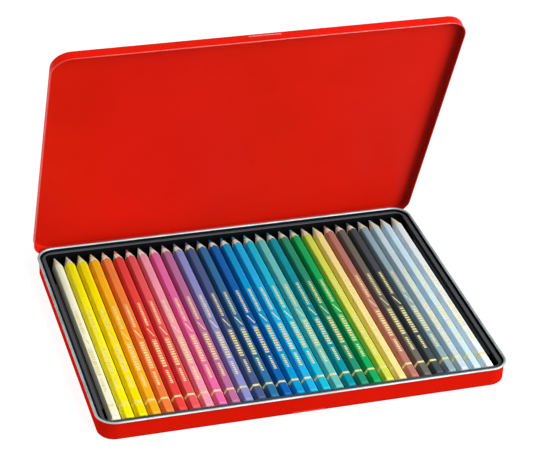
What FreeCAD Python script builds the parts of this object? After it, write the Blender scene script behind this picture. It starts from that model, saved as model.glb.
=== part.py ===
"""A flat hinged tin that holds thirty hexagonal colour pencils side by side in a moulded tray.

The base is a shallow pressed pan whose upper edge is rolled outwards into a bead. The lid is a second
pan that closes over the bead. Two three-knuckle hinges on wire pins join them at the back. A
vacuum-formed tray lies in the base: its middle carries the pencils between low ridges, and a deep
trough at each end stands on the floor of the tin.

The origin is the centre of the underside. X runs along the hinge, +Y points to the hinge side and +Z
points up. Each piece is modelled with the lid shut, and the lid is then turned to its resting angle.
"""

import FreeCAD
import Part
import math
import os
import re

import Sketcher

# ---------------------------------------------------------------------------------------------
# Driving dimensions, in millimetres and degrees.

SIZES = {
    # Pencils, each lying flat side up.
    "pencil_count": 30,
    "pencil_flats": 6.7,
    "pencil_length": 179.0,
    "pencil_gap": 0.264,
    "pencil_drop": 1.55,
    "cone_slope": 0.264,
    "lead_diameter": 3.6,
    "lead_point_radius": 0.25,
    "lead_end_cover": 3.0,
    "pencil_end_bevel": 1.4,
    # Pressed sheet of both pans.
    "tin_sheet": 0.4,
    "corner_radius": 11.8,
    "rim_height": 13.7,
    "bead_diameter": 1.6,
    "curl_tuck": 0.04,
    "base_edge_radius": 2.0,
    "thumb_width": 20.5,
    "thumb_height": 2.2,
    "thumb_depth": 0.5,
    # Lid.
    "lid_gap": 0.3,
    "lid_seat_gap": 0.3,
    "lid_skirt_depth": 7.1,
    "lid_edge_radius": 1.6,
    "hem_diameter": 0.8,
    "rear_trim_height": 0.9,
    "rear_trim_reach": 2.0,
    "lip_width": 20.0,
    "lip_drop": 2.3,
    "lip_diameter": 1.0,
    "lid_rest_angle": 68.0,
    # Hinges.
    "hinge_drop": 4.7,
    "hinge_spacing": 150.0,
    "hinge_knuckle_width": 7.5,
    "hinge_end_gap": 0.35,
    "hinge_pin_diameter": 1.0,
    "hinge_play": 0.05,
    # Tray.
    "tray_sheet": 0.5,
    "tray_wall_gap": 0.54,
    "tray_drop": 1.6,
    "tray_lip_width": 0.9,
    "tray_lip_step": 1.1,
    "tray_band_width": 2.4,
    "tray_corner_step": 2.4,
    "tray_ledge_step": 2.2,
    "tray_ledge_width": 1.8,
    "tray_notch_width": 1.0,
    "tray_notch_length": 16.0,
    "tray_edge_radius": 0.5,
    "trough_floor_radius": 1.2,
    "pencil_side_gap": 0.63,
    "pencil_tip_gap": 0.6,
    "pencil_end_gap": 1.6,
    "tip_trough_length": 15.6,
    "end_trough_length": 14.6,
    "ridge_height": 2.4,
    "ridge_clearance": 0.25,
    "ridge_end_gap": 1.5,
}

# Sizes that follow from the ones above.
DERIVED = {
    "pencil_corners": "pencil_flats / cos(30)",
    "pencil_pitch": "pencil_corners + pencil_gap",
    "pencil_axis_height": "rim_height - pencil_drop - pencil_flats / 2",
    "first_pencil": "(pencil_count - 1) * pencil_pitch / 2",
    "platform_height": "pencil_axis_height - pencil_flats / 2",
    # Insets are measured inwards from the outside of the bead, all the way round.
    "wall_inset": "bead_diameter - tin_sheet - curl_tuck",
    "lip_inset": "wall_inset + tin_sheet + tray_wall_gap",
    "band_inset": "lip_inset + tray_lip_width",
    "well_inset": "band_inset + tray_band_width",
    "well_radius": "corner_radius - well_inset - tray_corner_step",
    "half_width": "first_pencil + pencil_corners / 2 + pencil_side_gap + tray_ledge_width + well_inset",
    "half_depth": "(pencil_length + pencil_tip_gap + pencil_end_gap) / 2 + well_inset",
    "pencil_end": "half_depth - well_inset - pencil_end_gap",
    "bead_level": "rim_height - bead_diameter / 2",
    "band_height": "rim_height - tray_drop",
    "tray_lip_height": "band_height - tray_lip_step",
    "ledge_height": "band_height - tray_ledge_step",
    "well_half_width": "half_width - well_inset - tray_ledge_width",
    "tip_trough_start": "half_depth - well_inset - tip_trough_length",
    "end_trough_start": "half_depth - well_inset - end_trough_length",
    "skirt_face": "lid_gap + tin_sheet",
    "lid_top": "rim_height + lid_seat_gap + tin_sheet",
    "hem_bottom": "lid_top - lid_skirt_depth",
    "hem_level": "hem_bottom + hem_diameter / 2",
    "hem_offset": "lid_gap + curl_tuck + hem_diameter / 2",
    "hinge_height": "rim_height - hinge_drop",
    "hinge_depth": "half_depth + lid_gap + tin_sheet / 2",
    "bore_radius": "hinge_pin_diameter / 2 + hinge_play",
    "knuckle_radius": "bore_radius + tin_sheet",
    "hinge_length": "3 * hinge_knuckle_width + 2 * hinge_end_gap",
    "window_top": "hinge_height + knuckle_radius + hinge_end_gap",
}

NAME = re.compile(r"[a-z]+(?:_[a-z]+)+")


def expression(text):
    """Writes a formula in the names above as one that the document can read."""

    def swap(match):
        name = match.group(0)
        if name in SIZES:
            return "sizes." + name
        return "(" + expression(DERIVED[name]) + ")"

    return NAME.sub(swap, text)


def number(text):
    """The present value of a formula, for placing geometry before its sizes are bound."""
    value = sheet.evalExpression(expression(text))
    return float(getattr(value, "Value", value))


def bind(item, prop, text):
    item.setExpression(prop, expression(text))


# ---------------------------------------------------------------------------------------------
# Document and sheet.

doc = FreeCAD.newDocument("pencil_tin")
sheet = doc.addObject("Spreadsheet::Sheet", "sizes")
for row, (alias, value) in enumerate(SIZES.items(), start=1):
    sheet.set(f"A{row}", alias)
    sheet.set(f"B{row}", str(value))
    sheet.setAlias(f"B{row}", alias)
doc.recompute()


# ---------------------------------------------------------------------------------------------
# Sketches.

ORIGIN = (-1, 1)
PLANES = {"top": "XY_Plane", "side": "YZ_Plane", "front": "XZ_Plane"}


def new_body(name):
    body = doc.addObject("PartDesign::Body", name)
    body.Label = name
    return body


def new_sketch(body, name, plane, level="0"):
    """A sketch on one of the body's own origin planes, moved along its normal to a level."""
    sketch = body.newObject("Sketcher::SketchObject", name)
    role = PLANES[plane]
    base = [item for item in body.Origin.OriginFeatures if item.Role == role][0]
    sketch.AttachmentSupport = [(base, "")]
    sketch.MapMode = "FlatFace"
    bind(sketch, "AttachmentOffset.Base.z", level)
    return sketch


def set_datum(sketch, name, text):
    """Names the last constraint and ties it to a formula."""
    last = sketch.ConstraintCount - 1
    sketch.renameConstraint(last, name)
    sketch.setExpression(f"Constraints.{name}", expression(text))


def outline(sketch, left, right, low, high, low_radius=None, high_radius=None, tag=""):
    """A closed four-sided outline with formulas for its sides.

    Its two low corners and its two high corners may be rounded. The sides are held by their
    distances from the sketch's origin.
    """
    x0, x1 = number(left), number(right)
    y0, y1 = number(low), number(high)
    radii = [low_radius, low_radius, high_radius, high_radius]
    corners = [(x0, y0), (x1, y0), (x1, y1), (x0, y1)]
    steps = [(1, 0), (0, 1), (-1, 0), (0, -1)]
    pads = [number(text) if text else 0.0 for text in radii]
    sides = []
    for side, (dx, dy) in enumerate(steps):
        ax, ay = corners[side]
        bx, by = corners[(side + 1) % 4]
        start = FreeCAD.Vector(ax + dx * pads[side], ay + dy * pads[side], 0)
        after = pads[(side + 1) % 4]
        stop = FreeCAD.Vector(bx - dx * after, by - dy * after, 0)
        sides.append(sketch.addGeometry(Part.LineSegment(start, stop), False))
    for side, way in enumerate(("Horizontal", "Vertical", "Horizontal", "Vertical")):
        sketch.addConstraint(Sketcher.Constraint(way, sides[side]))
    arcs = {}
    for corner in range(4):
        before, after = sides[(corner + 3) % 4], sides[corner]
        if not pads[corner]:
            sketch.addConstraint(Sketcher.Constraint("Coincident", before, 2, after, 1))
            continue
        cx = corners[corner][0] + pads[corner] * (1 if corner in (0, 3) else -1)
        cy = corners[corner][1] + pads[corner] * (1 if corner in (0, 1) else -1)
        circle = Part.Circle(FreeCAD.Vector(cx, cy, 0), FreeCAD.Vector(0, 0, 1), pads[corner])
        turn = math.pi * (1 + corner / 2)
        arc = sketch.addGeometry(Part.ArcOfCircle(circle, turn, turn + math.pi / 2), False)
        sketch.addConstraint(Sketcher.Constraint("Tangent", before, 2, arc, 1))
        sketch.addConstraint(Sketcher.Constraint("Tangent", arc, 2, after, 1))
        arcs[corner] = arc
    for first, second, text, name in ((0, 1, low_radius, "low_radius"), (2, 3, high_radius, "high_radius")):
        if text:
            sketch.addConstraint(Sketcher.Constraint("Equal", arcs[first], arcs[second]))
            sketch.addConstraint(Sketcher.Constraint("Radius", arcs[first], number(text)))
            set_datum(sketch, tag + name, text)
    for name, side, text in (
        ("low", 0, low),
        ("right", 1, right),
        ("high", 2, high),
        ("left", 3, left),
    ):
        away = abs(number(text))
        sketch.addConstraint(Sketcher.Constraint("Distance", *ORIGIN, sides[side], away))
        set_datum(sketch, tag + name, f"abs({text})")


def ring_outline(sketch, inset, radius=None, tag=""):
    """A rounded rectangle that keeps the same inset from the outside of the bead on all sides.

    Its corners share their centres with the bead's unless they are given a radius of their own.
    """
    across, along = f"half_width - ({inset})", f"half_depth - ({inset})"
    radius = radius or f"corner_radius - ({inset})"
    outline(sketch, f"-({across})", across, f"-({along})", along, radius, radius, tag)


def ring_path(sketch, inset):
    """The same rounded rectangle as a path that starts in the middle of the front side."""
    across, along = number(f"half_width - ({inset})"), number(f"half_depth - ({inset})")
    radius = number(f"corner_radius - ({inset})")
    run_x, run_y = across - radius, along - radius
    stops = [
        (0, -along),
        (run_x, -along),
        (across, -run_y),
        (across, run_y),
        (run_x, along),
        (-run_x, along),
        (-across, run_y),
        (-across, -run_y),
        (-run_x, -along),
        (0, -along),
    ]
    points = [FreeCAD.Vector(x, y, 0) for x, y in stops]
    centres = {1: (run_x, -run_y), 3: (run_x, run_y), 5: (-run_x, run_y), 7: (-run_x, -run_y)}
    pieces = []
    for step in range(9):
        if step in centres:
            centre = FreeCAD.Vector(*centres[step], 0)
            circle = Part.Circle(centre, FreeCAD.Vector(0, 0, 1), radius)
            turn = math.pi * (1.5 + (step - 1) / 4)
            piece = Part.ArcOfCircle(circle, turn, turn + math.pi / 2)
        else:
            piece = Part.LineSegment(points[step], points[step + 1])
        pieces.append(sketch.addGeometry(piece, False))
    for step in range(8):
        kind = "Tangent"
        sketch.addConstraint(Sketcher.Constraint(kind, pieces[step], 2, pieces[step + 1], 1))
    sketch.addConstraint(Sketcher.Constraint("Coincident", pieces[8], 2, pieces[0], 1))
    sketch.addConstraint(Sketcher.Constraint("PointOnObject", pieces[0], 1, -2))
    for step, way in ((0, "Horizontal"), (2, "Vertical"), (4, "Horizontal"), (6, "Vertical")):
        sketch.addConstraint(Sketcher.Constraint(way, pieces[step]))
    for step in (3, 5, 7):
        sketch.addConstraint(Sketcher.Constraint("Equal", pieces[1], pieces[step]))
    sketch.addConstraint(Sketcher.Constraint("Radius", pieces[1], radius))
    set_datum(sketch, "radius", f"corner_radius - ({inset})")
    for name, step, text in (
        ("front", 0, f"half_depth - ({inset})"),
        ("right", 2, f"half_width - ({inset})"),
        ("rear", 4, f"half_depth - ({inset})"),
        ("left", 6, f"half_width - ({inset})"),
    ):
        sketch.addConstraint(Sketcher.Constraint("Distance", *ORIGIN, pieces[step], number(text)))
        set_datum(sketch, name, text)


def disc(sketch, across, up, radius):
    """A circle whose centre stands at two formulas from the sketch's origin."""
    centre = FreeCAD.Vector(number(across), number(up), 0)
    circle = Part.Circle(centre, FreeCAD.Vector(0, 0, 1), number(radius))
    piece = sketch.addGeometry(circle, False)
    sketch.addConstraint(Sketcher.Constraint("Radius", piece, number(radius)))
    set_datum(sketch, "radius", radius)
    sketch.addConstraint(Sketcher.Constraint("DistanceX", *ORIGIN, piece, 3, centre.x))
    set_datum(sketch, "across", across)
    sketch.addConstraint(Sketcher.Constraint("DistanceY", *ORIGIN, piece, 3, centre.y))
    set_datum(sketch, "up", up)


def polygon(sketch, corners):
    """A closed outline through corners that are each given by two formulas."""
    points = [FreeCAD.Vector(number(x), number(y), 0) for x, y in corners]
    lines = []
    for step, start in enumerate(points):
        stop = points[(step + 1) % len(points)]
        lines.append(sketch.addGeometry(Part.LineSegment(start, stop), False))
    for step, line in enumerate(lines):
        after = lines[(step + 1) % len(lines)]
        sketch.addConstraint(Sketcher.Constraint("Coincident", line, 2, after, 1))
    for step, (x, y) in enumerate(corners):
        for way, text, value in (("X", x, points[step].x), ("Y", y, points[step].y)):
            if text == "0":
                axis = -2 if way == "X" else -1
                sketch.addConstraint(Sketcher.Constraint("PointOnObject", lines[step], 1, axis))
                continue
            kind = "Distance" + way
            sketch.addConstraint(Sketcher.Constraint(kind, *ORIGIN, lines[step], 1, value))
            set_datum(sketch, f"corner_{way}_{step}", text)


def hexagon_outline(sketch, radius):
    """A regular hexagon about the origin, with a flat side on top."""
    reach = number(radius)
    spokes = [math.radians(60 * step) for step in range(6)]
    points = [FreeCAD.Vector(reach * math.cos(a), reach * math.sin(a), 0) for a in spokes]
    sides = []
    for step in range(6):
        side = Part.LineSegment(points[step], points[(step + 1) % 6])
        sides.append(sketch.addGeometry(side, False))
    circle = Part.Circle(FreeCAD.Vector(0, 0, 0), FreeCAD.Vector(0, 0, 1), reach)
    ring = sketch.addGeometry(circle, True)
    sketch.addConstraint(Sketcher.Constraint("Coincident", ring, 3, *ORIGIN))
    sketch.addConstraint(Sketcher.Constraint("Radius", ring, reach))
    set_datum(sketch, "radius", radius)
    for step in range(6):
        after = sides[(step + 1) % 6]
        sketch.addConstraint(Sketcher.Constraint("Coincident", sides[step], 2, after, 1))
        sketch.addConstraint(Sketcher.Constraint("PointOnObject", sides[step], 1, ring))
    for step in range(1, 6):
        sketch.addConstraint(Sketcher.Constraint("Equal", sides[0], sides[step]))
    sketch.addConstraint(Sketcher.Constraint("PointOnObject", sides[0], 1, -1))


# ---------------------------------------------------------------------------------------------
# Features.


def check_gain(body, feature, sign):
    """Makes sure that a feature added material, or took some away."""
    before = feature.BaseFeature.Shape.Volume if feature.BaseFeature else 0.0
    change = (feature.Shape.Volume - before) * sign
    if not change > 1e-6:
        raise RuntimeError(f"{body.Label}: {feature.Name} changed nothing")


def pad(body, name, sketch, length, middle=False, backwards=False):
    feature = body.newObject("PartDesign::Pad", name)
    feature.Profile = sketch
    bind(feature, "Length", length)
    feature.Midplane = middle
    feature.Reversed = backwards
    doc.recompute()
    check_gain(body, feature, 1)
    return feature


def pocket(body, name, sketch, depth, middle=False, backwards=False):
    feature = body.newObject("PartDesign::Pocket", name)
    feature.Profile = sketch
    bind(feature, "Length", depth)
    feature.Midplane = middle
    feature.Reversed = backwards
    doc.recompute()
    check_gain(body, feature, -1)
    return feature


def turned(body, name, kind, sketch):
    """Turns a profile all the way round the body's Y axis, which is the sketch's first axis."""
    feature = body.newObject("PartDesign::" + kind, name)
    feature.Profile = sketch
    feature.ReferenceAxis = (sketch, ["H_Axis"])
    feature.Angle = 360
    doc.recompute()
    check_gain(body, feature, 1 if kind == "Revolution" else -1)
    return feature


def pipe(body, name, profile, path):
    feature = body.newObject("PartDesign::AdditivePipe", name)
    feature.Profile = profile
    feature.Spine = path
    doc.recompute()
    check_gain(body, feature, 1)
    return feature


def edges_at(feature, level, line=None):
    """Names of the edges that lie flat at one height, or of those that also lie on one line.

    The line is "x" or "y" and how far it is from the origin, on either side.
    """
    names = []
    for place, edge in enumerate(feature.Shape.Edges, start=1):
        ends = [vertex.Point for vertex in edge.Vertexes]
        held = all(abs(end.z - level) < 1e-6 for end in ends)
        if held and line:
            axis, away = line
            held = all(abs(abs(getattr(end, axis)) - away) < 1e-6 for end in ends)
        if held:
            names.append(f"Edge{place}")
    if not names:
        raise RuntimeError(f"{feature.Name} has no edge at {level}")
    return names


def fillet(body, name, feature, edges, radius):
    rounding = body.newObject("PartDesign::Fillet", name)
    rounding.Base = (feature, edges)
    bind(rounding, "Radius", radius)
    doc.recompute()
    return rounding


def hollow_out(body, name, feature, level, sheet_size):
    """Leaves a sheet of one thickness, open at the flat face that lies at a level."""
    faces = []
    for place, face in enumerate(feature.Shape.Faces, start=1):
        if all(abs(vertex.Point.z - level) < 1e-6 for vertex in face.Vertexes):
            faces.append(f"Face{place}")
    shell = body.newObject("PartDesign::Thickness", name)
    shell.Base = (feature, faces)
    bind(shell, "Value", sheet_size)
    shell.Reversed = True
    shell.Mode = "Skin"
    shell.Join = "Intersection"
    doc.recompute()
    check_gain(body, shell, -1)
    return shell


def curl(body, name, inset, level, radius):
    """A round bead that runs all the way round at one inset and one height."""
    path = new_sketch(body, name + "_path", "top", level)
    ring_path(path, inset)
    section = new_sketch(body, name + "_section", "side")
    disc(section, f"-(half_depth - ({inset}))", level, radius)
    return pipe(body, name, section, path)


# ---------------------------------------------------------------------------------------------
# Base tin: a pressed pan with a rolled bead, a thumb recess and two hinge leaves.


def add_knuckle(body, name, middle, width, leaf_low, leaf_high, leaf_near, leaf_far):
    """A hinge knuckle round the pin, with the leaf that joins it to its pan."""
    leaf = new_sketch(body, name + "_leaf_plan", "side", middle)
    outline(leaf, leaf_near, leaf_far, leaf_low, leaf_high)
    pad(body, name + "_leaf", leaf, width, middle=True)
    roll = new_sketch(body, name + "_roll_plan", "side", middle)
    disc(roll, "hinge_depth", "hinge_height", "knuckle_radius")
    pad(body, name + "_roll", roll, width, middle=True)


def add_bore(body, name, middle, width, radius):
    bore = new_sketch(body, name + "_plan", "side", middle)
    disc(bore, "hinge_depth", "hinge_height", radius)
    pocket(body, name, bore, width, middle=True)


def make_base():
    body = new_body("base_tin")

    foot = new_sketch(body, "foot_plan", "top")
    ring_outline(foot, "wall_inset")
    block = pad(body, "block", foot, "bead_level")
    rounded = fillet(body, "foot_rounding", block, edges_at(block, 0.0), "base_edge_radius")
    recess = new_sketch(body, "thumb_recess_plan", "top")
    side, back = "thumb_width / 2", "half_depth - wall_inset - thumb_depth"
    outline(recess, f"-({side})", side, "-half_depth", f"-({back})")
    pressed = pocket(body, "thumb_recess", recess, "thumb_height", backwards=True)
    hollow_out(body, "sheet", pressed, number("bead_level"), "tin_sheet")

    curl(body, "bead", "bead_diameter / 2", "bead_level", "bead_diameter / 2")

    for name, sign in (("left", "-"), ("right", "")):
        middle = f"{sign}hinge_spacing / 2"
        add_knuckle(
            body,
            f"{name}_knuckle",
            middle,
            "hinge_knuckle_width",
            "hinge_height - knuckle_radius",
            "hinge_height - bore_radius",
            "half_depth - wall_inset - tin_sheet / 2",
            "hinge_depth",
        )
        add_bore(body, f"{name}_bore", middle, "2 * hinge_knuckle_width", "bore_radius")
    return body


# ---------------------------------------------------------------------------------------------
# Lid: a shallower pan with a rolled hem, a finger lip and the outer knuckles of both hinges.


def make_lid():
    body = new_body("lid")

    plan = new_sketch(body, "panel_plan", "top", "hem_level")
    ring_outline(plan, "-(skirt_face)")
    block = pad(body, "panel", plan, "lid_top - hem_level")
    top_edges = edges_at(block, number("lid_top"))
    rounded = fillet(body, "panel_rounding", block, top_edges, "lid_edge_radius")
    hollow_out(body, "sheet", rounded, number("hem_level"), "tin_sheet")
    curl(body, "hem", "-(hem_offset)", "hem_level", "hem_diameter / 2")

    trim = new_sketch(body, "trim_plan", "top", "hem_bottom")
    beyond = "half_width + hem_offset + hem_diameter"
    behind = "half_depth + hem_offset + hem_diameter"
    outline(trim, f"-({beyond})", beyond, "half_depth - rear_trim_reach", behind)
    pocket(body, "trim", trim, "rear_trim_height", backwards=True)
    rear_hem = new_sketch(body, "rear_hem_plan", "side")
    rear_level = "hem_bottom + rear_trim_height + hem_diameter / 2"
    disc(rear_hem, "half_depth + hem_offset", rear_level, "hem_diameter / 2")
    pad(body, "rear_hem", rear_hem, "2 * (half_width - corner_radius)", middle=True)

    lip = new_sketch(body, "lip_plan", "side")
    disc(lip, "-(half_depth + skirt_face)", "lid_top - lip_drop", "lip_diameter / 2")
    pad(body, "lip", lip, "lip_width", middle=True)
    inside = new_sketch(body, "lip_back_plan", "top", "hem_bottom")
    side = "lip_width / 2 + tin_sheet"
    outline(inside, f"-({side})", side, "-(half_depth + lid_gap)", "-(half_depth + lid_gap - lip_diameter)")
    pocket(body, "lip_back", inside, "lid_skirt_depth - lid_edge_radius", backwards=True)

    for name, sign in (("left", "-"), ("right", "")):
        middle = f"{sign}hinge_spacing / 2"
        window = new_sketch(body, f"{name}_window_plan", "side", middle)
        outline(window, "half_depth", "hinge_depth + knuckle_radius", "hem_bottom", "window_top")
        pocket(body, f"{name}_window", window, "hinge_length + 2 * hinge_end_gap", middle=True)
        for end, step in (("outer", "-"), ("inner", "+")):
            place = f"{middle} {step} (hinge_knuckle_width + hinge_end_gap)"
            add_knuckle(
                body,
                f"{name}_{end}_knuckle",
                place,
                "hinge_knuckle_width",
                "hinge_height + bore_radius",
                "window_top + tin_sheet",
                "hinge_depth - tin_sheet / 2",
                "hinge_depth + tin_sheet / 2",
            )
        add_bore(body, f"{name}_bore", middle, "hinge_length + hinge_end_gap", "hinge_pin_diameter / 2")
    return body


def make_pin(name, sign):
    """A straight wire pin, held tight in the lid's two knuckles."""
    pin = doc.addObject("Part::Cylinder", name)
    pin.Label = name
    bind(pin, "Radius", "hinge_pin_diameter / 2")
    bind(pin, "Height", "hinge_length")
    pin.Placement.Rotation = FreeCAD.Rotation(FreeCAD.Vector(0, 1, 0), 90)
    bind(pin, "Placement.Base.x", f"{sign}hinge_spacing / 2 - hinge_length / 2")
    bind(pin, "Placement.Base.y", "hinge_depth")
    bind(pin, "Placement.Base.z", "hinge_height")
    return pin


# ---------------------------------------------------------------------------------------------
# Tray: a formed sheet with a raised band round it, a ridged platform and a trough at each end.


def make_tray():
    body = new_body("tray")
    floor = "tin_sheet"
    trough_floor = "(tin_sheet + tray_sheet)"
    shell_inset = "well_inset - tray_sheet"

    blank = new_sketch(body, "lip_plan", "top", floor)
    ring_outline(blank, "lip_inset")
    pad(body, "lip", blank, "tray_lip_height - tin_sheet")
    band = new_sketch(body, "band_plan", "top", floor)
    ring_outline(band, "band_inset")
    pad(body, "band", band, "band_height - tin_sheet")

    well = new_sketch(body, "well_plan", "top", "band_height")
    ring_outline(well, "well_inset", "well_radius")
    opened = pocket(body, "well", well, "tray_ledge_step")
    rim = edges_at(opened, number("band_height"))
    fillet(body, "band_rounding", opened, rim, "tray_edge_radius")

    edge = "half_width - well_inset"
    radius = "well_radius"
    far = "half_depth - well_inset"
    rear = new_sketch(body, "tip_trough_plan", "top", "ledge_height")
    outline(rear, f"-({edge})", edge, "tip_trough_start", far, None, radius)
    pocket(body, "tip_trough", rear, f"ledge_height - {trough_floor}")
    front = new_sketch(body, "end_trough_plan", "top", "ledge_height")
    outline(front, f"-({edge})", edge, f"-({far})", "-end_trough_start", radius, None)
    sunk = pocket(body, "end_trough", front, f"ledge_height - {trough_floor}")
    floor_edges = edges_at(sunk, number(trough_floor))
    fillet(body, "trough_rounding", sunk, floor_edges, "trough_floor_radius")

    bed = new_sketch(body, "bed_plan", "top", "ledge_height")
    outline(bed, "-well_half_width", "well_half_width", "-end_trough_start", "tip_trough_start")
    pocket(body, "bed", bed, "ledge_height - platform_height")
    notch = new_sketch(body, "notch_plan", "top", "ledge_height")
    side = "well_half_width + tray_notch_width"
    outline(notch, f"-({side})", side, "tip_trough_start - tray_notch_length", "tip_trough_start")
    cut = pocket(body, "notch", notch, "ledge_height - platform_height")
    ledges = edges_at(cut, number("ledge_height"), ("x", number("well_half_width")))
    eased = fillet(body, "ledge_rounding", cut, ledges, "tray_edge_radius")
    ends = [
        edges_at(eased, number("platform_height"), ("y", number(away)))
        for away in ("tip_trough_start", "end_trough_start")
    ]
    fillet(body, "platform_rounding", eased, ends[0] + ends[1], "tray_edge_radius")

    # The hollow underside, one sheet thickness away from the upper surface everywhere.
    below = f"({floor} - tray_sheet)"
    shell = f"half_width - ({shell_inset})"
    inner = new_sketch(body, "platform_underside_plan", "top", below)
    outline(
        inner,
        f"-({shell})",
        shell,
        "-(end_trough_start - tray_sheet)",
        "tip_trough_start - tray_sheet",
    )
    pocket(body, "platform_underside", inner, f"platform_height - tray_sheet - {below}", backwards=True)
    for name, sign in (("left", "-"), ("right", "")):
        near, away = "well_half_width + tray_sheet", shell
        if sign:
            near, away = f"-({shell})", f"-({near})"
        ledge = new_sketch(body, f"{name}_ledge_underside_plan", "top", below)
        stop = "tip_trough_start - tray_notch_length - tray_sheet"
        outline(ledge, near, away, "-(end_trough_start - tray_sheet)", stop)
        rise = f"ledge_height - tray_sheet - {below}"
        pocket(body, f"{name}_ledge_underside", ledge, rise, backwards=True)
    add_underside_ring(body, "lip_underside", "lip_inset - tray_wall_gap", "tray_lip_height - tray_sheet")
    add_underside_ring(body, "band_underside", "band_inset + tray_sheet", "band_height - tray_sheet")

    # Ridges between the pencils, with flanks along the pencils' lower faces.
    ridge = new_sketch(body, "ridge_plan", "front", "ridge_end_gap - tip_trough_start")
    ridge_profile(ridge)
    rise = pad(body, "ridge", ridge, "tip_trough_start + end_trough_start - 2 * ridge_end_gap")
    rows = body.newObject("PartDesign::LinearPattern", "ridges")
    rows.Originals = [rise]
    rows.Direction = (ridge, ["H_Axis"])
    bind(rows, "Length", "(pencil_count - 2) * pencil_pitch")
    bind(rows, "Occurrences", "pencil_count - 1")
    body.Tip = rows
    doc.recompute()
    return body


def add_underside_ring(body, name, inset, top):
    """Clears the space outside the well's wall, from below up to a height."""
    below = "(tin_sheet - tray_sheet)"
    ring = new_sketch(body, name + "_plan", "top", below)
    ring_outline(ring, inset)
    ring_outline(ring, "well_inset - tray_sheet", "well_radius + tray_sheet", "inner_")
    pocket(body, name, ring, f"{top} - {below}", backwards=True)


def ridge_profile(sketch):
    """A trapezium on the platform, midway between the first two pencils."""
    middle = "(pencil_pitch / 2 - first_pencil)"
    gap = "pencil_pitch / 2 - pencil_corners / 4 - ridge_clearance"
    half_foot = f"({gap} + tray_sheet / 2 * tan(30))"
    half_top = f"({gap} - ridge_height * tan(30))"
    foot, top = "platform_height - tray_sheet / 2", "platform_height + ridge_height"
    polygon(
        sketch,
        [
            (f"{middle} - {half_foot}", foot),
            (f"{middle} + {half_foot}", foot),
            (f"{middle} + {half_top}", top),
            (f"{middle} - {half_top}", top),
        ],
    )


# ---------------------------------------------------------------------------------------------
# Pencils: a lacquered hexagonal casing, sharpened to a cone, round a coloured lead.


def make_casing():
    """The wooden casing, along the body's Y axis from its dipped end to its sharpened cone."""
    body = new_body("casing")
    hexagon = new_sketch(body, "hexagon", "front")
    hexagon_outline(hexagon, "pencil_corners / 2")
    pad(body, "bar", hexagon, "pencil_length", backwards=True)

    beyond = "(pencil_corners / 2 + pencil_gap)"
    cone = new_sketch(body, "cone_profile", "side")
    start = f"pencil_length - ({beyond} - lead_point_radius) / cone_slope"
    polygon(
        cone,
        [
            (start, beyond),
            ("pencil_length", beyond),
            ("pencil_length", "lead_point_radius"),
        ],
    )
    turned(body, "cone", "Groove", cone)
    end = new_sketch(body, "end_profile", "side")
    reach = "pencil_end_bevel + pencil_gap"
    polygon(end, [("0", beyond), (reach, beyond), ("0", f"{beyond} - ({reach})")])
    turned(body, "end_bevel", "Groove", end)

    bore = new_sketch(body, "bore_plan", "front", "-pencil_length")
    disc(bore, "0", "0", "lead_diameter / 2")
    pocket(body, "bore", bore, "pencil_length - lead_end_cover", backwards=True)
    return body


def make_lead():
    """The coloured lead, which fills the casing's bore and carries the cone on to the point."""
    body = new_body("lead")
    profile = new_sketch(body, "lead_profile", "side")
    shoulder = "pencil_length - (lead_diameter / 2 - lead_point_radius) / cone_slope"
    polygon(
        profile,
        [
            ("lead_end_cover", "0"),
            ("pencil_length", "0"),
            ("pencil_length", "lead_point_radius"),
            (shoulder, "lead_diameter / 2"),
            ("lead_end_cover", "lead_diameter / 2"),
        ],
    )
    turned(body, "rod", "Revolution", profile)
    return body


def make_pencil(place, casing, lead):
    """One pencil of the row, as a casing and a lead set side by side on the tray."""
    label = f"pencil_{place:02d}"
    pencil = doc.addObject("Part::Compound", label)
    pencil.Label = label
    pencil.Links = [casing, lead]
    bind(pencil, "Placement.Base.x", f"{place - 1} * pencil_pitch - first_pencil")
    bind(pencil, "Placement.Base.y", "-pencil_end")
    bind(pencil, "Placement.Base.z", "pencil_axis_height")
    return pencil


# ---------------------------------------------------------------------------------------------
# Assembly.


def turn_with_lid(item):
    """Sets a body at the lid's resting angle, turned back about the hinge axis."""
    item.setExpression(
        "Placement",
        expression(
            "placement(vector(0; 0; 0); rotation(vector(-1; 0; 0); lid_rest_angle); "
            "vector(0; hinge_depth; hinge_height))"
        ),
    )


base = make_base()
lid = make_lid()
turn_with_lid(lid)
pins = [make_pin("hinge_pin_left", "-"), make_pin("hinge_pin_right", "")]
tray = make_tray()
casing, lead = make_casing(), make_lead()
pencils = [make_pencil(place, casing, lead) for place in range(1, SIZES["pencil_count"] + 1)]
doc.recompute()

# ---------------------------------------------------------------------------------------------
# Every object has to be sound before anything is written.

for item in doc.Objects:
    if "Invalid" in item.State or "Error" in item.State:
        raise RuntimeError(f"{item.Label} did not compute: {item.State}")

os.makedirs("parts", exist_ok=True)
nodes = [base, lid, *pins, tray, *pencils]
for item in nodes:
    if item.Shape.isNull() or not item.Shape.isValid():
        raise RuntimeError(f"{item.Label} is not a sound solid")
for item in nodes:
    item.Shape.exportStep(f"parts/{item.Label}.step")
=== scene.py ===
import math

import bpy
from mathutils import Matrix, Vector


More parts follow.
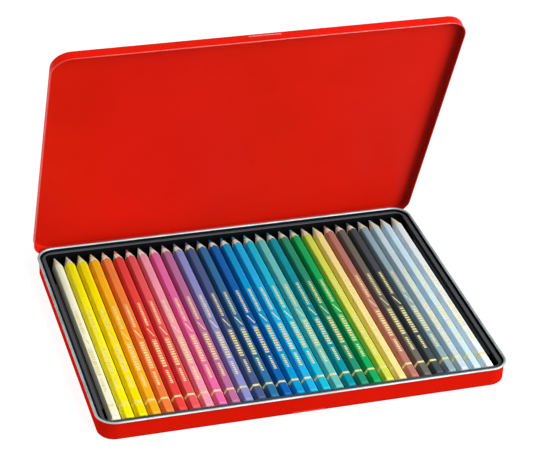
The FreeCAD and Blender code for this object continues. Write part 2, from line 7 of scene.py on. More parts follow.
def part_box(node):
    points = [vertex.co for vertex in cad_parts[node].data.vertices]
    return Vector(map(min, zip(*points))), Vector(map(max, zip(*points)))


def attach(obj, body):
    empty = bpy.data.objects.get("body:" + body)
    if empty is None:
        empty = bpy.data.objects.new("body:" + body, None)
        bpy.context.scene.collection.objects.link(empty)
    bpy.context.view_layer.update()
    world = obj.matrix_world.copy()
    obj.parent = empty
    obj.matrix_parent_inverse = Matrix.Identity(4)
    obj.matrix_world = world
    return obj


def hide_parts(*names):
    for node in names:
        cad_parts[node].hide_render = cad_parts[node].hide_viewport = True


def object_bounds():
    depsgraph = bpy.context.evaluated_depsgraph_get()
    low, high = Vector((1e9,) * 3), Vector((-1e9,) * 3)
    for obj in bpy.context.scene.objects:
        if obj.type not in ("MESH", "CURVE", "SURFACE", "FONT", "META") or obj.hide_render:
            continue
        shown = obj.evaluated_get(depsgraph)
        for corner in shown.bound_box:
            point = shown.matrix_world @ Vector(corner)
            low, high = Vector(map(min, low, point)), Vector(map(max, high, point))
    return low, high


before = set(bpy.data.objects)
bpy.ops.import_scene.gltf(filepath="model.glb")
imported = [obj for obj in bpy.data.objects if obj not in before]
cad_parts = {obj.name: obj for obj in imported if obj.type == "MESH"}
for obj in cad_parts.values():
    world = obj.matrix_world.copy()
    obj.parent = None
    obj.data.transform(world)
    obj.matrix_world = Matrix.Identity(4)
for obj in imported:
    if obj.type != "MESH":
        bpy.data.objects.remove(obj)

cad_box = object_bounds()
mm = 0.001

# ---------------------------------------------------------------------------------------------
# Base tin
# A shallow pan pressed from tinplate, lacquered red before it was pressed. Its edge is rolled
# outwards into a bead, and the lacquer stops short of it, so the bead shows bare tin. The thumb
# recess struck into the front wall is painted a brighter red, a painted highlight.

# The base's red is painted darker than the lid's red of the same lacquer: a painted shade, since
# the lamps light the base's walls more.
BASE_PAINTED_SHADE_RED = "#be1508"
BASE_PAINTED_SHADE_RED_DEEP = "#b51105"
# A lighter red painted in the thumb recess: a painted highlight.
RECESS_PAINTED_HIGHLIGHT_RED = "#dc322c"
BARE_TIN = "#a9babc"
BARE_TIN_DULL = "#92a1a3"
# A near black painted on the pan's inner side, where there is only shade: a painted shade.
INSIDE_PAINTED_SHADE = "#141517"
LACQUER_ROUGHNESS = 0.36
LACQUER_UNEVENNESS = 0.1
LACQUER_COAT_ROUGHNESS = 0.15
PEEL_DEPTH = 0.008 * mm
LACQUER_EDGE_HEIGHT = 13.0 * mm
LACQUER_EDGE_SOFTNESS = 0.1 * mm
LACQUER_EDGE_WANDER = 0.04 * mm
LACQUER_EDGE_STEP = 2.0  # in depths of the peel
BARE_TIN_METALLIC = 0.4
BARE_TIN_ROUGHER = 0.04
BARE_TIN_UNEVENNESS = 0.12
RIM_CORNER_RADIUS = 11.8 * mm
WALL_INSET = 1.16 * mm
SHEET = 0.4 * mm
FOOT_RADIUS = 2.0 * mm
THUMB_WIDTH = 20.5 * mm
THUMB_HEIGHT = 2.2 * mm
THUMB_DEPTH = 0.5 * mm


class Wire:
    """An output of a node. A sum written with it adds the Math nodes that work it out."""

    def __init__(self, tree, socket):
        self.tree = tree
        self.socket = socket

    def math(self, operation, *others):
        return self.tree.math(operation, self, *others)

    def at_least(self, other):
        return self.math("MAXIMUM", other)

    def __add__(self, other):
        return self.math("ADD", other)

    def __radd__(self, other):
        return self.tree.math("ADD", other, self)

    def __sub__(self, other):
        return self.math("SUBTRACT", other)

    def __rsub__(self, other):
        return self.tree.math("SUBTRACT", other, self)

    def __mul__(self, other):
        return self.math("MULTIPLY", other)

    def __rmul__(self, other):
        return self.tree.math("MULTIPLY", other, self)

    def __truediv__(self, other):
        return self.math("DIVIDE", other)

    def __rtruediv__(self, other):
        return self.tree.math("DIVIDE", other, self)

    def __mod__(self, other):
        return self.math("FLOORED_MODULO", other)

    def __pow__(self, other):
        return self.math("POWER", other)

    def __lt__(self, other):
        return self.math("LESS_THAN", other)

    def __gt__(self, other):
        return self.math("GREATER_THAN", other)

    def __abs__(self):
        return self.math("ABSOLUTE")

    def fade(self, start, end):
        """Runs smoothly from 0, where the value is start, to 1, where it is end."""
        settings = {"interpolation_type": "SMOOTHSTEP"}
        sockets = {"Value": self, "From Min": start, "From Max": end}
        return self.tree.add("ShaderNodeMapRange", settings, sockets)

    def parts(self):
        """The X, Y and Z of a vector."""
        return [self.tree.add("ShaderNodeSeparateXYZ", {}, [self], axis) for axis in "XYZ"]


class Tree:
    """A node tree that is being built."""

    def __init__(self, node_tree):
        self.nodes = node_tree.nodes
        self.links = node_tree.links

    def add(self, kind, settings=None, sockets=None, output=0):
        """Adds a node, with its settings first and then its sockets, by name or in order."""
        node = self.nodes.new(kind)
        for name, value in (settings or {}).items():
            if name == "stops":
                self.set_stops(node.color_ramp, value)
            else:
                setattr(node, name, value)
        pairs = sockets.items() if isinstance(sockets, dict) else enumerate(sockets or ())
        for key, value in pairs:
            self.feed(node.inputs[key], value)
        return Wire(self, node.outputs[output])

    def math(self, operation, *values):
        return self.add("ShaderNodeMath", {"operation": operation}, values)

    def feed(self, socket, value):
        if isinstance(value, Wire):
            self.links.new(value.socket, socket)
        else:
            socket.default_value = value

    def set_stops(self, ramp, stops):
        while len(ramp.elements) < len(stops):
            ramp.elements.new(1.0)
        for element, (position, code) in zip(ramp.elements, stops):
            element.position = position
            element.color = paint(code)


def paint(code):
    """A colour such as "#d11c10" as the linear values that a shader works with."""
    shares = [int(code[i : i + 2], 16) / 255 for i in (1, 3, 5)]
    linear = [((s + 0.055) / 1.055) ** 2.4 if s > 0.04045 else s / 12.92 for s in shares]
    return (*linear, 1.0)


class Finish(Tree):
    """A material with one surface. What is the same all over it is set on the surface's sockets."""

    def __init__(self, name, **steady):
        self.material = bpy.data.materials.new(name)
        self.material.use_nodes = True
        super().__init__(self.material.node_tree)
        self.surface = self.nodes["Principled BSDF"]
        for socket, value in steady.items():
            self.surface.inputs[socket.replace("_", " ")].default_value = value
        self.place = self.add("ShaderNodeTexCoord", output="Object")

    def noise(self, scale, detail=2.0, stretch=(1, 1, 1)):
        """Noise of about 0 to 1 on the piece, with scale features in a metre."""
        across = self.add("ShaderNodeMapping", {}, {"Vector": self.place, "Scale": stretch})
        sockets = {"Vector": across, "Scale": scale, "Detail": detail}
        return self.add("ShaderNodeTexNoise", {}, sockets, "Fac")

    def ramp(self, factor, *stops):
        """The colour at a factor among stops, each a position from 0 to 1 and its colour."""
        return self.add("ShaderNodeValToRGB", {"stops": stops}, {"Fac": factor}, "Color")

    def mix(self, factor, first, second):
        """The first colour where the factor is 0, and the second where it is 1."""
        # A Mix node has its sockets once for each kind of value: 6, 7 and output 2 are colours.
        sockets = {0: factor, 6: first, 7: second}
        return self.add("ShaderNodeMix", {"data_type": "RGBA"}, sockets, 2)

    def bump(self, height, depth, strength=1.0):
        """Raises the surface by up to depth metres where height is 1."""
        sockets = {"Height": height, "Distance": depth, "Strength": strength}
        self.set("Normal", self.add("ShaderNodeBump", {}, sockets, "Normal"))

    def set(self, socket, value):
        self.feed(self.surface.inputs[socket], value)


def red_lacquer(name, deep, full, gloss):
    """Stoved red lacquer over tinplate: an even satin with a fine orange peel."""
    finish = Finish(name, Coat_Roughness=LACQUER_COAT_ROUGHNESS, Specular_IOR_Level=gloss)
    finish.red = finish.ramp(finish.noise(scale=14, detail=3), (0.3, deep), (0.7, full))
    finish.rough = LACQUER_ROUGHNESS + LACQUER_UNEVENNESS * finish.noise(scale=60, detail=4)
    finish.peel = finish.noise(scale=1100)
    return finish


def in_recess(x, y, z, margin=0.0):
    """1 on the thumb recess in the front wall, and on a margin all round it."""
    return (abs(x) < THUMB_WIDTH / 2 + margin) * (z < THUMB_HEIGHT + margin) * (y < 0.0)


def inner_side(x, y, z, half_width, half_depth):
    """1 on the inner side of the pan's sheet, and 0 on its outer side and in the thumb recess."""
    beyond_x = (abs(x) - (half_width - RIM_CORNER_RADIUS)).at_least(0.0)
    beyond_y = (abs(y) - (half_depth - RIM_CORNER_RADIUS)).at_least(0.0)
    inset = RIM_CORNER_RADIUS - (beyond_x * beyond_x + beyond_y * beyond_y).math("SQRT")
    pushed_in = THUMB_DEPTH * in_recess(x, y, z, margin=SHEET / 2)
    outwards = (WALL_INSET + FOOT_RADIUS + pushed_in - inset).at_least(0.0)
    downwards = (FOOT_RADIUS - z).at_least(0.0)
    return outwards * outwards + downwards * downwards < (FOOT_RADIUS - SHEET / 2) ** 2


def finish_base_tin():
    """Red lacquer outside, darkened as painted shade, with a painted highlight in the recess,
    painted shade inside, and bare tin on the bead.
    """
    finish = red_lacquer("lacquered_tin_bare_bead", BASE_PAINTED_SHADE_RED_DEEP, BASE_PAINTED_SHADE_RED, gloss=0.0)
    x, y, z = finish.place.parts()
    # The recess is painted a lighter red: a painted highlight.
    lacquer = finish.mix(in_recess(x, y, z), finish.red, paint(RECESS_PAINTED_HIGHLIGHT_RED))
    low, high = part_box("base_tin")
    inside = inner_side(x, y, z, half_width=high.x, half_depth=-low.y)
    # The inner side is painted near black: painted shade.
    coated = finish.mix(inside, lacquer, paint(INSIDE_PAINTED_SHADE))

    bare = (z + LACQUER_EDGE_WANDER * finish.noise(scale=300)).fade(
        LACQUER_EDGE_HEIGHT - LACQUER_EDGE_SOFTNESS, LACQUER_EDGE_HEIGHT + LACQUER_EDGE_SOFTNESS
    )
    rubbed = finish.noise(scale=90, detail=5)
    tin = finish.ramp(rubbed, (0.35, BARE_TIN_DULL), (0.6, BARE_TIN))
    rougher = BARE_TIN_ROUGHER + BARE_TIN_UNEVENNESS * rubbed
    finish.set("Base Color", finish.mix(bare, coated, tin))
    finish.set("Metallic", bare * BARE_TIN_METALLIC)
    finish.set("Roughness", finish.rough + bare * rougher)
    finish.bump(finish.peel + LACQUER_EDGE_STEP * (1 - bare), PEEL_DEPTH)
    return finish.material


def dress(node, material):
    """Gives a piece one material all over."""
    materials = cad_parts[node].data.materials
    materials.clear()
    materials.append(material)


dress("base_tin", finish_base_tin())

# ---------------------------------------------------------------------------------------------
# Lid
# A second pan of the same lacquered tinplate, wide enough to close over the bead. Its edge is
# hemmed outwards, and it is red inside and out. It hangs on the two hinges at the back.

TIN_RED = "#d01809"
TIN_RED_DEEP = "#c61506"
HINGE_AXIS_Y = 96.5 * mm
HINGE_AXIS_Z = 9.0 * mm
LID_REST_ANGLE = math.radians(68)
HEM_DEPTH = 0.85 * mm
LIP_REACH = 193.25 * mm
REAR_HEM_TOP = 0.05 * mm
REAR_HEM_REACH = 0.8 * mm


def finish_lid():
    """Red lacquer all over, burnished to a gloss on the hem and on the finger lip."""
    finish = red_lacquer("lacquered_tin_lid", TIN_RED_DEEP, TIN_RED, gloss=0.05)
    # How far a point is above the hinge axis and in front of it when the lid is shut.
    _, y, z = finish.place.parts()
    behind, above = y - HINGE_AXIS_Y, z - HINGE_AXIS_Z
    height = behind * math.sin(LID_REST_ANGLE) + above * math.cos(LID_REST_ANGLE)
    reach = above * math.sin(LID_REST_ANGLE) - behind * math.cos(LID_REST_ANGLE)
    rear_hem = (height < REAR_HEM_TOP) * (reach < REAR_HEM_REACH)
    rolled = (height < -HEM_DEPTH).at_least(reach > LIP_REACH).at_least(rear_hem)
    finish.set("Base Color", finish.red)
    finish.set("Roughness", finish.rough)
    finish.set("Coat Weight", rolled)
    finish.bump(finish.peel, PEEL_DEPTH)
    return finish.material


dress("lid", finish_lid())
# The lid casts no red light on the pencils and the tray.
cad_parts["lid"].visible_diffuse = False

# ---------------------------------------------------------------------------------------------
# Hinge pins
# Two lengths of drawn steel wire, one for each hinge. Each is pushed through the knuckles of its
# hinge, and the lid's knuckles hold it by friction.

WIRE_STEEL = "#c4c6c8"
WIRE_STEEL_DARK = "#8f9296"
WIRE_ROUGHNESS = 0.25
WIRE_UNEVENNESS = 0.2
DRAWN_LINE_STRETCH = (0.05, 8, 8)  # long along the wire, fine across it
DRAWN_LINE_DEPTH = 0.01 * mm


def finish_hinge_pins():
    """Bright steel with the fine lines that drawing leaves along the wire."""
    finish = Finish("drawn_steel_wire", Metallic=1.0)
    drawn = finish.noise(scale=400, detail=3, stretch=DRAWN_LINE_STRETCH)
    finish.set("Base Color", finish.ramp(drawn, (0.35, WIRE_STEEL_DARK), (0.65, WIRE_STEEL)))
    finish.set("Roughness", WIRE_ROUGHNESS + WIRE_UNEVENNESS * drawn)
    finish.bump(drawn, DRAWN_LINE_DEPTH)
    return finish.material


pin_finish = finish_hinge_pins()
for side in ("left", "right"):
    dress(f"hinge_pin_{side}", pin_finish)

# ---------------------------------------------------------------------------------------------
# Tray
# Black polystyrene sheet, vacuum-formed over a mould, and dropped loose into the base. The mould
# leaves a fine grain and a soft sheen, and what faces up near the rim is painted grey, a painted
# sheen.

TRAY_BLACK = "#08090a"
# A grey painted on what faces up near the rim: a painted sheen.
TRAY_PAINTED_SHEEN_GREY = "#45494d"
PAINTED_SHEEN_STARTS = 8 * mm
PAINTED_SHEEN_FULL = 12 * mm
PAINTED_SHEEN = 0.85
PAINTED_SHEEN_UNEVENNESS = 0.3
SHEET_ROUGHNESS = 0.4
SHEET_UNEVENNESS = 0.12
GRAIN_DEPTH = 0.02 * mm


def finish_tray():
    """Black sheet with a soft sheen, and a painted grey sheen on what faces up near the rim."""
    finish = Finish("formed_black_sheet", Specular_IOR_Level=0.05)
    cloud = finish.noise(scale=35, detail=4)
    _, _, upwards = finish.add("ShaderNodeTexCoord", output="Normal").parts()
    _, _, height = finish.place.parts()
    near_rim = height.fade(PAINTED_SHEEN_STARTS, PAINTED_SHEEN_FULL)
    facing_up = upwards.fade(start=0.05, end=0.5)
    # Up-facing surfaces near the rim are painted grey: a painted sheen.
    painted_sheen_mask = near_rim * (PAINTED_SHEEN + PAINTED_SHEEN_UNEVENNESS * cloud) * facing_up
    finish.set("Base Color", finish.ramp(painted_sheen_mask, (0.0, TRAY_BLACK), (1.0, TRAY_PAINTED_SHEEN_GREY)))
    finish.set("Roughness", SHEET_ROUGHNESS + SHEET_UNEVENNESS * cloud)
    finish.bump(finish.noise(scale=2600), GRAIN_DEPTH, strength=0.6)
    return finish.material


dress("tray", finish_tray())

# ---------------------------------------------------------------------------------------------
# Pencils
# Hexagonal cedar casings round a thick coloured lead, dipped in lacquer of the lead's colour. A
# gold foil ring and a foil stamp are pressed on, and the point is cut to a long cone.

CONE_SLOPE = 0.264
LEAD_RADIUS = 1.8 * mm
POINT_RADIUS = 0.25 * mm
CORNER_RADIUS = 0.55 * mm
END_BEVEL = 1.2 * mm
END_BEVEL_CURVE = (  # how far in from the flat, and how far along from the end, in bevels
    (1.15, 0.0),
    (1.0, 0.03),
    (1 - math.sin(math.radians(45)), 1 - math.sin(math.radians(45))),
    (0.03, 0.85),
    (0.0, 1.15),
)
CUT_RINGS = (1.0, 0.6, 0.25, 0.0)  # from the hexagon, at 1, down to the round lead, at 0
LEAD_RINGS = (0.55 * LEAD_RADIUS, 1.4 * POINT_RADIUS)
BLUNT_RADIUS = 0.8 * POINT_RADIUS
BLUNT_DEPTH = 0.25 * POINT_RADIUS
RINGS = 15  # all the rings that pencil_profile gives
HALF_FLAT_ANGLE = math.radians(30)
POINTS_PER_FLAT = 12
CORNER_CROWDING = 1.6
MERGE_DISTANCE = 0.002 * mm

RING_FROM_END = 12.3 * mm
RING_WIDTH = 1.9 * mm
RING_SOFTNESS = 0.05 * mm
STAMP_ROWS = (  # start and stop from the dipped end, then pitch and half width
    (25.5 * mm, 39.5 * mm, 2.0 * mm, 0.8 * mm),
    (42.5 * mm, 71.5 * mm, 2.6 * mm, 1.25 * mm),
    (86.7 * mm, 112.2 * mm, 1.9 * mm, 0.8 * mm),
)
STAMP_FILL = 0.68
STAMP_WEAR = 0.36
TOP_FLAT_DEPTH = 0.08 * mm
STROKE_MIDDLE = 79.0 * mm
STROKE_REACH = 4.6 * mm
STROKE_SLANT = 0.26
STROKE_HALF_WIDTH = 0.38 * mm

CUT_EDGE = (0.03 * mm, 0.07 * mm)  # from bare wood to whole lacquer
LACQUER_STEP = 0.1 * mm
CUT_WANDER = 0.12 * mm
LEAD_WANDER = 0.2 * mm
LEAD_EDGE_SOFTNESS = 0.08 * mm
CASING_ROUGHNESS = 0.46
CUT_ROUGHER = 0.3
LEAD_SMOOTHER = 0.15
FOIL_SMOOTHER = 0.1
CASING_UNEVENNESS = 0.06
FOIL_METALLIC = 0.2
FOIL_RELIEF = 0.25
GRAIN_RELIEF = 0.25
CASING_RELIEF = 0.06 * mm
GRAIN_STRETCH = (3, 0.12, 3)  # fine across the cedar, long along it
LACQUER_SHADE = 0.96
LEAD_SHADE = 0.9

FOIL_GOLD = "#f2efa8"
FOIL_GOLD_THIN = "#dfd48e"
CEDAR = "#fae8d2"
CEDAR_DARK = "#e8cdb0"

LACQUERS = {  # the lacquer and the lead of each pencil, from left to right
    "ivory": ("#faf7d9", "#f0eede"),
    "lemon": ("#fcef0b", "#f3ebcd"),
    "yellow": ("#fce301", "#f0e539"),
    "golden": ("#fcb31e", "#f3cf4b"),
    "orange": ("#f07f3d", "#f8d179"),
    "scarlet": ("#e74541", "#f59489"),
    "crimson": ("#e6575b", "#ee5a7f"),
    "pink": ("#f499ad", "#f4dae4"),
    "magenta_pink": ("#e76aa4", "#e599cd"),
    "mauve": ("#b96e9a", "#dd81c2"),
    "lavender": ("#8c90c9", "#8392d5"),
    "night_violet": ("#495c87", "#586ab3"),
    "indigo": ("#2d6d9b", "#3d82b8"),
    "royal_blue": ("#0161ac", "#14579c"),
    "bright_blue": ("#0097d0", "#029ad3"),
    "light_blue": ("#1daee1", "#5ca3c0"),
    "cyan_blue": ("#19b7d1", "#4ed0d9"),
    "turquoise": ("#66c0bb", "#a5d5d5"),
    "teal": ("#0093a2", "#2997c6"),
    "dark_green": ("#238f6f", "#98ccd0"),
    "green": ("#09aa5c", "#88d4d3"),
    "yellow_green": ("#d8de54", "#deddd0"),
    "naples_yellow": ("#fce293", "#e3dd9e"),
    "russet": ("#ba7a6e", "#d48e7a"),
    "olive_brown": ("#6a675f", "#80888e"),
    "black": ("#414c51", "#6c7d87"),
    "grey_blue": ("#92acb6", "#dddddc"),
    "light_grey": ("#c9dce4", "#e6edef"),
    "ice_blue": ("#cde8f6", "#e0e9eb"),
    "white": ("#eaf1f4", "#f0f1f0"),
}


def pencil_shape():
    """Geometry Nodes for one pencil: rings of points round its axis, from its end to its point."""
    group = bpy.data.node_groups.new("pencil", "GeometryNodeTree")
    face = group.interface
    for size in ("Axis X", "Axis Z", "End Y", "Point Y", "Across Flats"):
        face.new_socket(size, in_out="INPUT", socket_type="NodeSocketFloat")
    face.new_socket("Finish", in_out="INPUT", socket_type="NodeSocketMaterial")
    face.new_socket("Geometry", in_out="OUTPUT", socket_type="NodeSocketGeometry")
    tree = Tree(group)
    entry = group.nodes.new("NodeGroupInput")
    given = {socket.name: Wire(tree, socket) for socket in entry.outputs if socket.name}

    columns = 6 * POINTS_PER_FLAT + 1
    sockets = {"Size X": 1.0, "Size Y": 1.0, "Vertices X": columns, "Vertices Y": RINGS}
    grid = tree.add("GeometryNodeMeshGrid", {}, sockets, "Mesh")
    index = tree.add("GeometryNodeInputIndex")
    ring = index % RINGS
    column = (index / RINGS).math("FLOOR")

    angle, hexagon = rounded_hexagon(column, given["Across Flats"] * 0.5)
    profile = pencil_profile(hexagon, given["End Y"], given["Point Y"])
    radii, places = zip(*profile)
    radius = pick(tree, ring, radii)
    along = pick(tree, ring, places)
    x = given["Axis X"] + radius * angle.math("SINE")
    z = given["Axis Z"] + radius * angle.math("COSINE")
    position = tree.add("ShaderNodeCombineXYZ", {}, [x, along, z])

    placed = tree.add("GeometryNodeSetPosition", {}, {"Geometry": grid, "Position": position})
    seam = {"Geometry": placed, "Distance": MERGE_DISTANCE}
    closed = tree.add("GeometryNodeMergeByDistance", {}, seam)
    smooth = tree.add("GeometryNodeSetShadeSmooth", {}, {"Geometry": closed})
    real = tree.add("GeometryNodeRealizeInstances", {}, {"Geometry": smooth})
    coat = {"Geometry": real, "Material": given["Finish"]}
    coated = tree.add("GeometryNodeSetMaterial", {}, coat)
    leave = group.nodes.new("NodeGroupOutput")
    tree.feed(leave.inputs["Geometry"], coated)
    return group


def rounded_hexagon(column, flat):
    """The angle of a column of points, and how far out the rounded hexagon is at that angle."""
    # Where the point is on its flat: from -1 at one corner, through 0, to 1 at the next corner.
    sector = (column / POINTS_PER_FLAT).math("FLOOR")
    along_flat = (column % POINTS_PER_FLAT) / (POINTS_PER_FLAT / 2) - 1
    crowded = 1 - (1 - abs(along_flat)) ** CORNER_CROWDING
    turn = along_flat.math("SIGN") * crowded * HALF_FLAT_ANGLE
    angle = turn + sector * (2 * HALF_FLAT_ANGLE)

    # Distance from the axis to the straight flat, and to the circle that rounds the corner.
    from_corner = HALF_FLAT_ANGLE - abs(turn)
    centre = (flat - CORNER_RADIUS) / math.cos(HALF_FLAT_ANGLE)
    offset = centre * from_corner.math("SINE")
    rest = CORNER_RADIUS**2 - offset * offset
    rounded = centre * from_corner.math("COSINE") + rest.math("SQRT")
    straight = flat / turn.math("COSINE")
    reach = flat * abs(turn).math("TANGENT")
    on_corner = reach > (flat - CORNER_RADIUS) * math.tan(HALF_FLAT_ANGLE)
    return angle, straight + (rounded - straight) * on_corner


def pencil_profile(hexagon, end, point):
    """The rings from the dipped end to the point: each one's radius, and how far along it lies."""
    apex = point + POINT_RADIUS / CONE_SLOPE
    rings = [(0.0, end)]
    for inwards, along in END_BEVEL_CURVE:
        rings.append((hexagon - inwards * END_BEVEL, end + along * END_BEVEL))
    rings.append((hexagon, end + (apex - end) * 0.5))
    cut = [hexagon * share + LEAD_RADIUS * (1 - share) for share in CUT_RINGS]
    for radius in (*cut, *LEAD_RINGS):
        rings.append((radius, apex - radius / CONE_SLOPE))
    rings.append((BLUNT_RADIUS, point - BLUNT_DEPTH))
    rings.append((0.0, point))
    return rings


def pick(tree, index, values):
    """The value whose place in the list is the index."""
    node = tree.nodes.new("GeometryNodeIndexSwitch")
    node.data_type = "FLOAT"
    while len(node.index_switch_items) < len(values):
        node.index_switch_items.new()
    for socket, value in zip(node.inputs, [index, *values]):
        tree.feed(socket, value)
    return Wire(tree, node.outputs[0])


def pressed_foil(finish, across, up, from_end, flats):
    """1 where foil is pressed on: a ring all the way round, and a worn stamp on the upper flat."""
    ring = 1 - abs(from_end - RING_FROM_END).fade(RING_WIDTH / 2 - RING_SOFTNESS, RING_WIDTH / 2)
    along = from_end - STROKE_MIDDLE
    stroke = abs(across + along * STROKE_SLANT) < STROKE_HALF_WIDTH
    stamp = stroke * (abs(along) < STROKE_REACH)
    for start, stop, pitch, half_width in STAMP_ROWS:
        dash = (from_end - start) % pitch < pitch * STAMP_FILL
        stamp = stamp + dash * (from_end > start) * (from_end < stop) * (abs(across) < half_width)
    on_top = up > flats / 2 - TOP_FLAT_DEPTH
    unworn = finish.noise(scale=1500) > STAMP_WEAR
    return ring.at_least(stamp * on_top * unworn)


def finish_pencil(name, lacquer, lead, low, high):
    """Lacquer, foil, bare cedar and lead, told apart by where they lie on the pencil."""
    finish = Finish(name, Specular_IOR_Level=0.12)
    x, y, z = finish.place.parts()
    axis = (low + high) / 2
    across, up = x - axis.x, z - axis.z
    radius = (across * across + up * up).math("SQRT")
    apex = high.y + POINT_RADIUS / CONE_SLOPE
    ragged = finish.noise(scale=700, detail=3) - 0.5
    film = (apex - y) * CONE_SLOPE - radius + CUT_WANDER * ragged
    bare = 1 - film.fade(*CUT_EDGE)
    past_lead = (radius + LEAD_WANDER * ragged).fade(LEAD_RADIUS, LEAD_RADIUS + LEAD_EDGE_SOFTNESS)
    core = bare * (1 - past_lead)
    gold = pressed_foil(finish, across, up, y - low.y, high.z - low.z)

    cloud = finish.noise(scale=45, detail=3)
    grain = finish.noise(scale=900, detail=4, stretch=GRAIN_STRETCH)
    wax = finish.noise(scale=500, detail=3)
    coat = finish.ramp(cloud, (0.3, darker(lacquer, LACQUER_SHADE)), (0.7, lacquer))
    foil = finish.ramp(finish.noise(scale=400), (0.35, FOIL_GOLD_THIN), (0.6, FOIL_GOLD))
    cedar = finish.ramp(grain, (0.3, CEDAR_DARK), (0.6, CEDAR))
    pigment = finish.ramp(wax, (0.3, darker(lead, LEAD_SHADE)), (0.7, lead))
    dressed = finish.mix(gold, coat, foil)
    cut = finish.mix(core, cedar, pigment)
    rough = CASING_ROUGHNESS + CUT_ROUGHER * bare - LEAD_SMOOTHER * core
    rough = rough - FOIL_SMOOTHER * gold + CASING_UNEVENNESS * cloud
    relief = film.fade(0.0, LACQUER_STEP) + FOIL_RELIEF * gold + GRAIN_RELIEF * grain * bare
    finish.set("Base Color", finish.mix(bare, dressed, cut))
    finish.set("Metallic", gold * (1 - bare) * FOIL_METALLIC)
    finish.set("Roughness", rough)
    finish.bump(relief, CASING_RELIEF)
    return finish.material


def darker(code, share):
    """The same colour with each of its parts cut to a share."""
    parts = [round(int(code[i : i + 2], 16) * share) for i in (1, 3, 5)]
    return "#" + "".join(f"{part:02x}" for part in parts)


def shaped_mesh(name, group, inputs):
    """The plain mesh that a Geometry Nodes group makes from the values of its named inputs."""
    blank = bpy.data.objects.new("blank", bpy.data.meshes.new("blank"))
    bpy.context.scene.collection.objects.link(blank)
    modifier = blank.modifiers.new(group.name, "NODES")
    modifier.node_group = group
    for item in group.interface.items_tree:
        if item.in_out == "INPUT":
            modifier[item.identifier] = inputs[item.name]
    shaped = blank.evaluated_get(bpy.context.evaluated_depsgraph_get())
    mesh = bpy.data.meshes.new_from_object(shaped)
    mesh.name = name
    bpy.data.objects.remove(blank)
    return mesh


pencil_group = pencil_shape()
for number, (colour, (lacquer, lead)) in enumerate(LACQUERS.items(), start=1):
    node = f"pencil_{number:02d}"
    low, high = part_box(node)
    axis = (low + high) / 2
    inputs = {
        "Axis X": axis.x,
        "Axis Z": axis.z,
        "End Y": low.y,
        "Point Y": high.y,
        "Across Flats": high.z - low.z,
        "Finish": finish_pencil(f"pencil_{colour}", lacquer, lead, low, high),
    }
    mesh = shaped_mesh(f"colour_{node}", pencil_group, inputs)
    pencil = bpy.data.objects.new(f"colour_{node}", mesh)
    bpy.context.scene.collection.objects.link(pencil)
    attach(pencil, node)
    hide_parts(node)

# ---------------------------------------------------------------------------------------------
# Studio
# A white floor that fades into a white surround, a broad lamp at the front right, a smaller one
# high on the right, a small one low on the left, and the camera above the tin's front left.

LAMP_AIM = Vector((0.0, 0.0, 0.02))
FILL = 0.12
FLOOR_SIZE = 8.0
FLOOR_DROP = 0.05 * mm
FLOOR_GREY = "#828282"
FLOOR_GREY_DARK = "#7e7e7e"
FLOOR_GLOW = 0.92
WHITE = "#ffffff"
BLACK = "#000000"


def lamp(name, azimuth, elevation, distance, size, level, mirrored=True):
    """A square lamp. At level 1 a white surface that faces it renders as full white."""
    light = bpy.data.lights.new(name, "AREA")
    light.size = size
    light.energy = level * (math.pi * distance) ** 2
    stand = bpy.data.objects.new(name, light)
    back = direction(azimuth, elevation)
    stand.location = LAMP_AIM + back * distance
    stand.rotation_euler = back.to_track_quat("Z", "Y").to_euler()
    stand.visible_glossy = mirrored
    bpy.context.scene.collection.objects.link(stand)


def direction(azimuth, elevation):
    """Out from the object: azimuth 0 is the front and 90 the right, and elevation is upwards."""
    a, e = math.radians(azimuth), math.radians(elevation)
    return Vector((math.sin(a) * math.cos(e), -math.cos(a) * math.cos(e), math.sin(e)))


def white_to_the_eye(tree):
    """1 for the camera's rays and for what mirrors and glass show, and 0 for light that spreads."""
    camera, glossy, transmission = (
        tree.add("ShaderNodeLightPath", output=f"Is {ray} Ray")
        for ray in ("Camera", "Glossy", "Transmission")
    )
    return camera.at_least(glossy).at_least(transmission)


lamp("high_right_lamp", azimuth=46, elevation=56, distance=2.6, size=1.2, level=0.42)
lamp("front_lamp", azimuth=32, elevation=24, distance=3.6, size=2.4, level=1.62)
lamp("low_left_lamp", azimuth=-95, elevation=4, distance=1.6, size=0.22, level=0.8, mirrored=False)

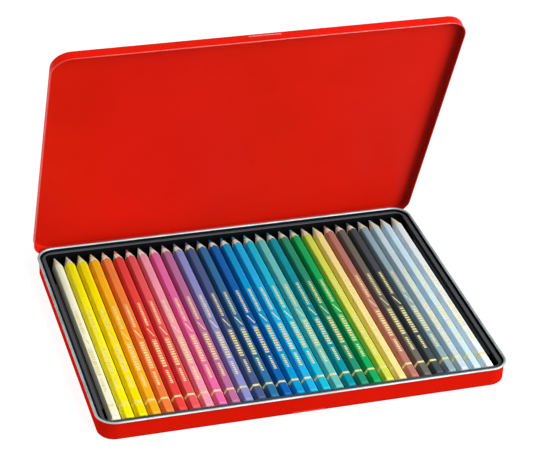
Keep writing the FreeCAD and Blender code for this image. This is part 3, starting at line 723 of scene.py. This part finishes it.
world = bpy.data.worlds.new("surround")
bpy.context.scene.world = world
world.use_nodes = True
sky = Tree(world.node_tree)
backdrop = world.node_tree.nodes["Background"]
sky.feed(backdrop.inputs["Color"], paint(WHITE))
sky.feed(backdrop.inputs["Strength"], FILL + (1 - FILL) * white_to_the_eye(sky))

floor_mesh = bpy.data.meshes.new("floor")
half, ground_level = FLOOR_SIZE / 2, cad_box[0].z - FLOOR_DROP
corners = [(x * half, y * half, ground_level) for x, y in ((-1, -1), (1, -1), (1, 1), (-1, 1))]
floor_mesh.from_pydata(corners, [], [(0, 1, 2, 3)])
floor = bpy.data.objects.new("floor", floor_mesh)
bpy.context.scene.collection.objects.link(floor)
ground = Finish(
    "white_floor", Roughness=1.0, Specular_IOR_Level=0.0, Emission_Strength=FLOOR_GLOW
)
speckle = ground.noise(scale=3)
ground.set("Base Color", ground.ramp(speckle, (0.0, FLOOR_GREY_DARK), (1.0, FLOOR_GREY)))
glow = ground.mix(white_to_the_eye(ground), paint(BLACK), paint(WHITE))
ground.set("Emission Color", glow)
floor_mesh.materials.append(ground.material)

VIEW_AZIMUTH = -18.128
VIEW_ELEVATION = 31.837
VIEW_ROLL = 2.957
VIEW_DISTANCE = 1391.3 * mm
VIEW_TARGET = Vector((36.39, 109.45, 0.0)) * mm
LENS = 136.92
SENSOR = 36.0

lens = bpy.data.cameras.new("camera")
lens.lens = LENS
lens.sensor_width = SENSOR
lens.sensor_fit = "HORIZONTAL"
camera = bpy.data.objects.new("camera", lens)
bpy.context.scene.collection.objects.link(camera)
back = direction(VIEW_AZIMUTH, VIEW_ELEVATION)
level_right = Vector((0.0, 0.0, 1.0)).cross(back).normalized()
level_up = back.cross(level_right)
tilt = math.radians(VIEW_ROLL)
right = math.cos(tilt) * level_right + math.sin(tilt) * level_up
up = math.cos(tilt) * level_up - math.sin(tilt) * level_right
turned = Matrix((right, up, back)).transposed().to_4x4()
camera.matrix_world = Matrix.Translation(VIEW_TARGET + back * VIEW_DISTANCE) @ turned
bpy.context.scene.camera = camera

bpy.context.scene.view_settings.view_transform = "Standard"
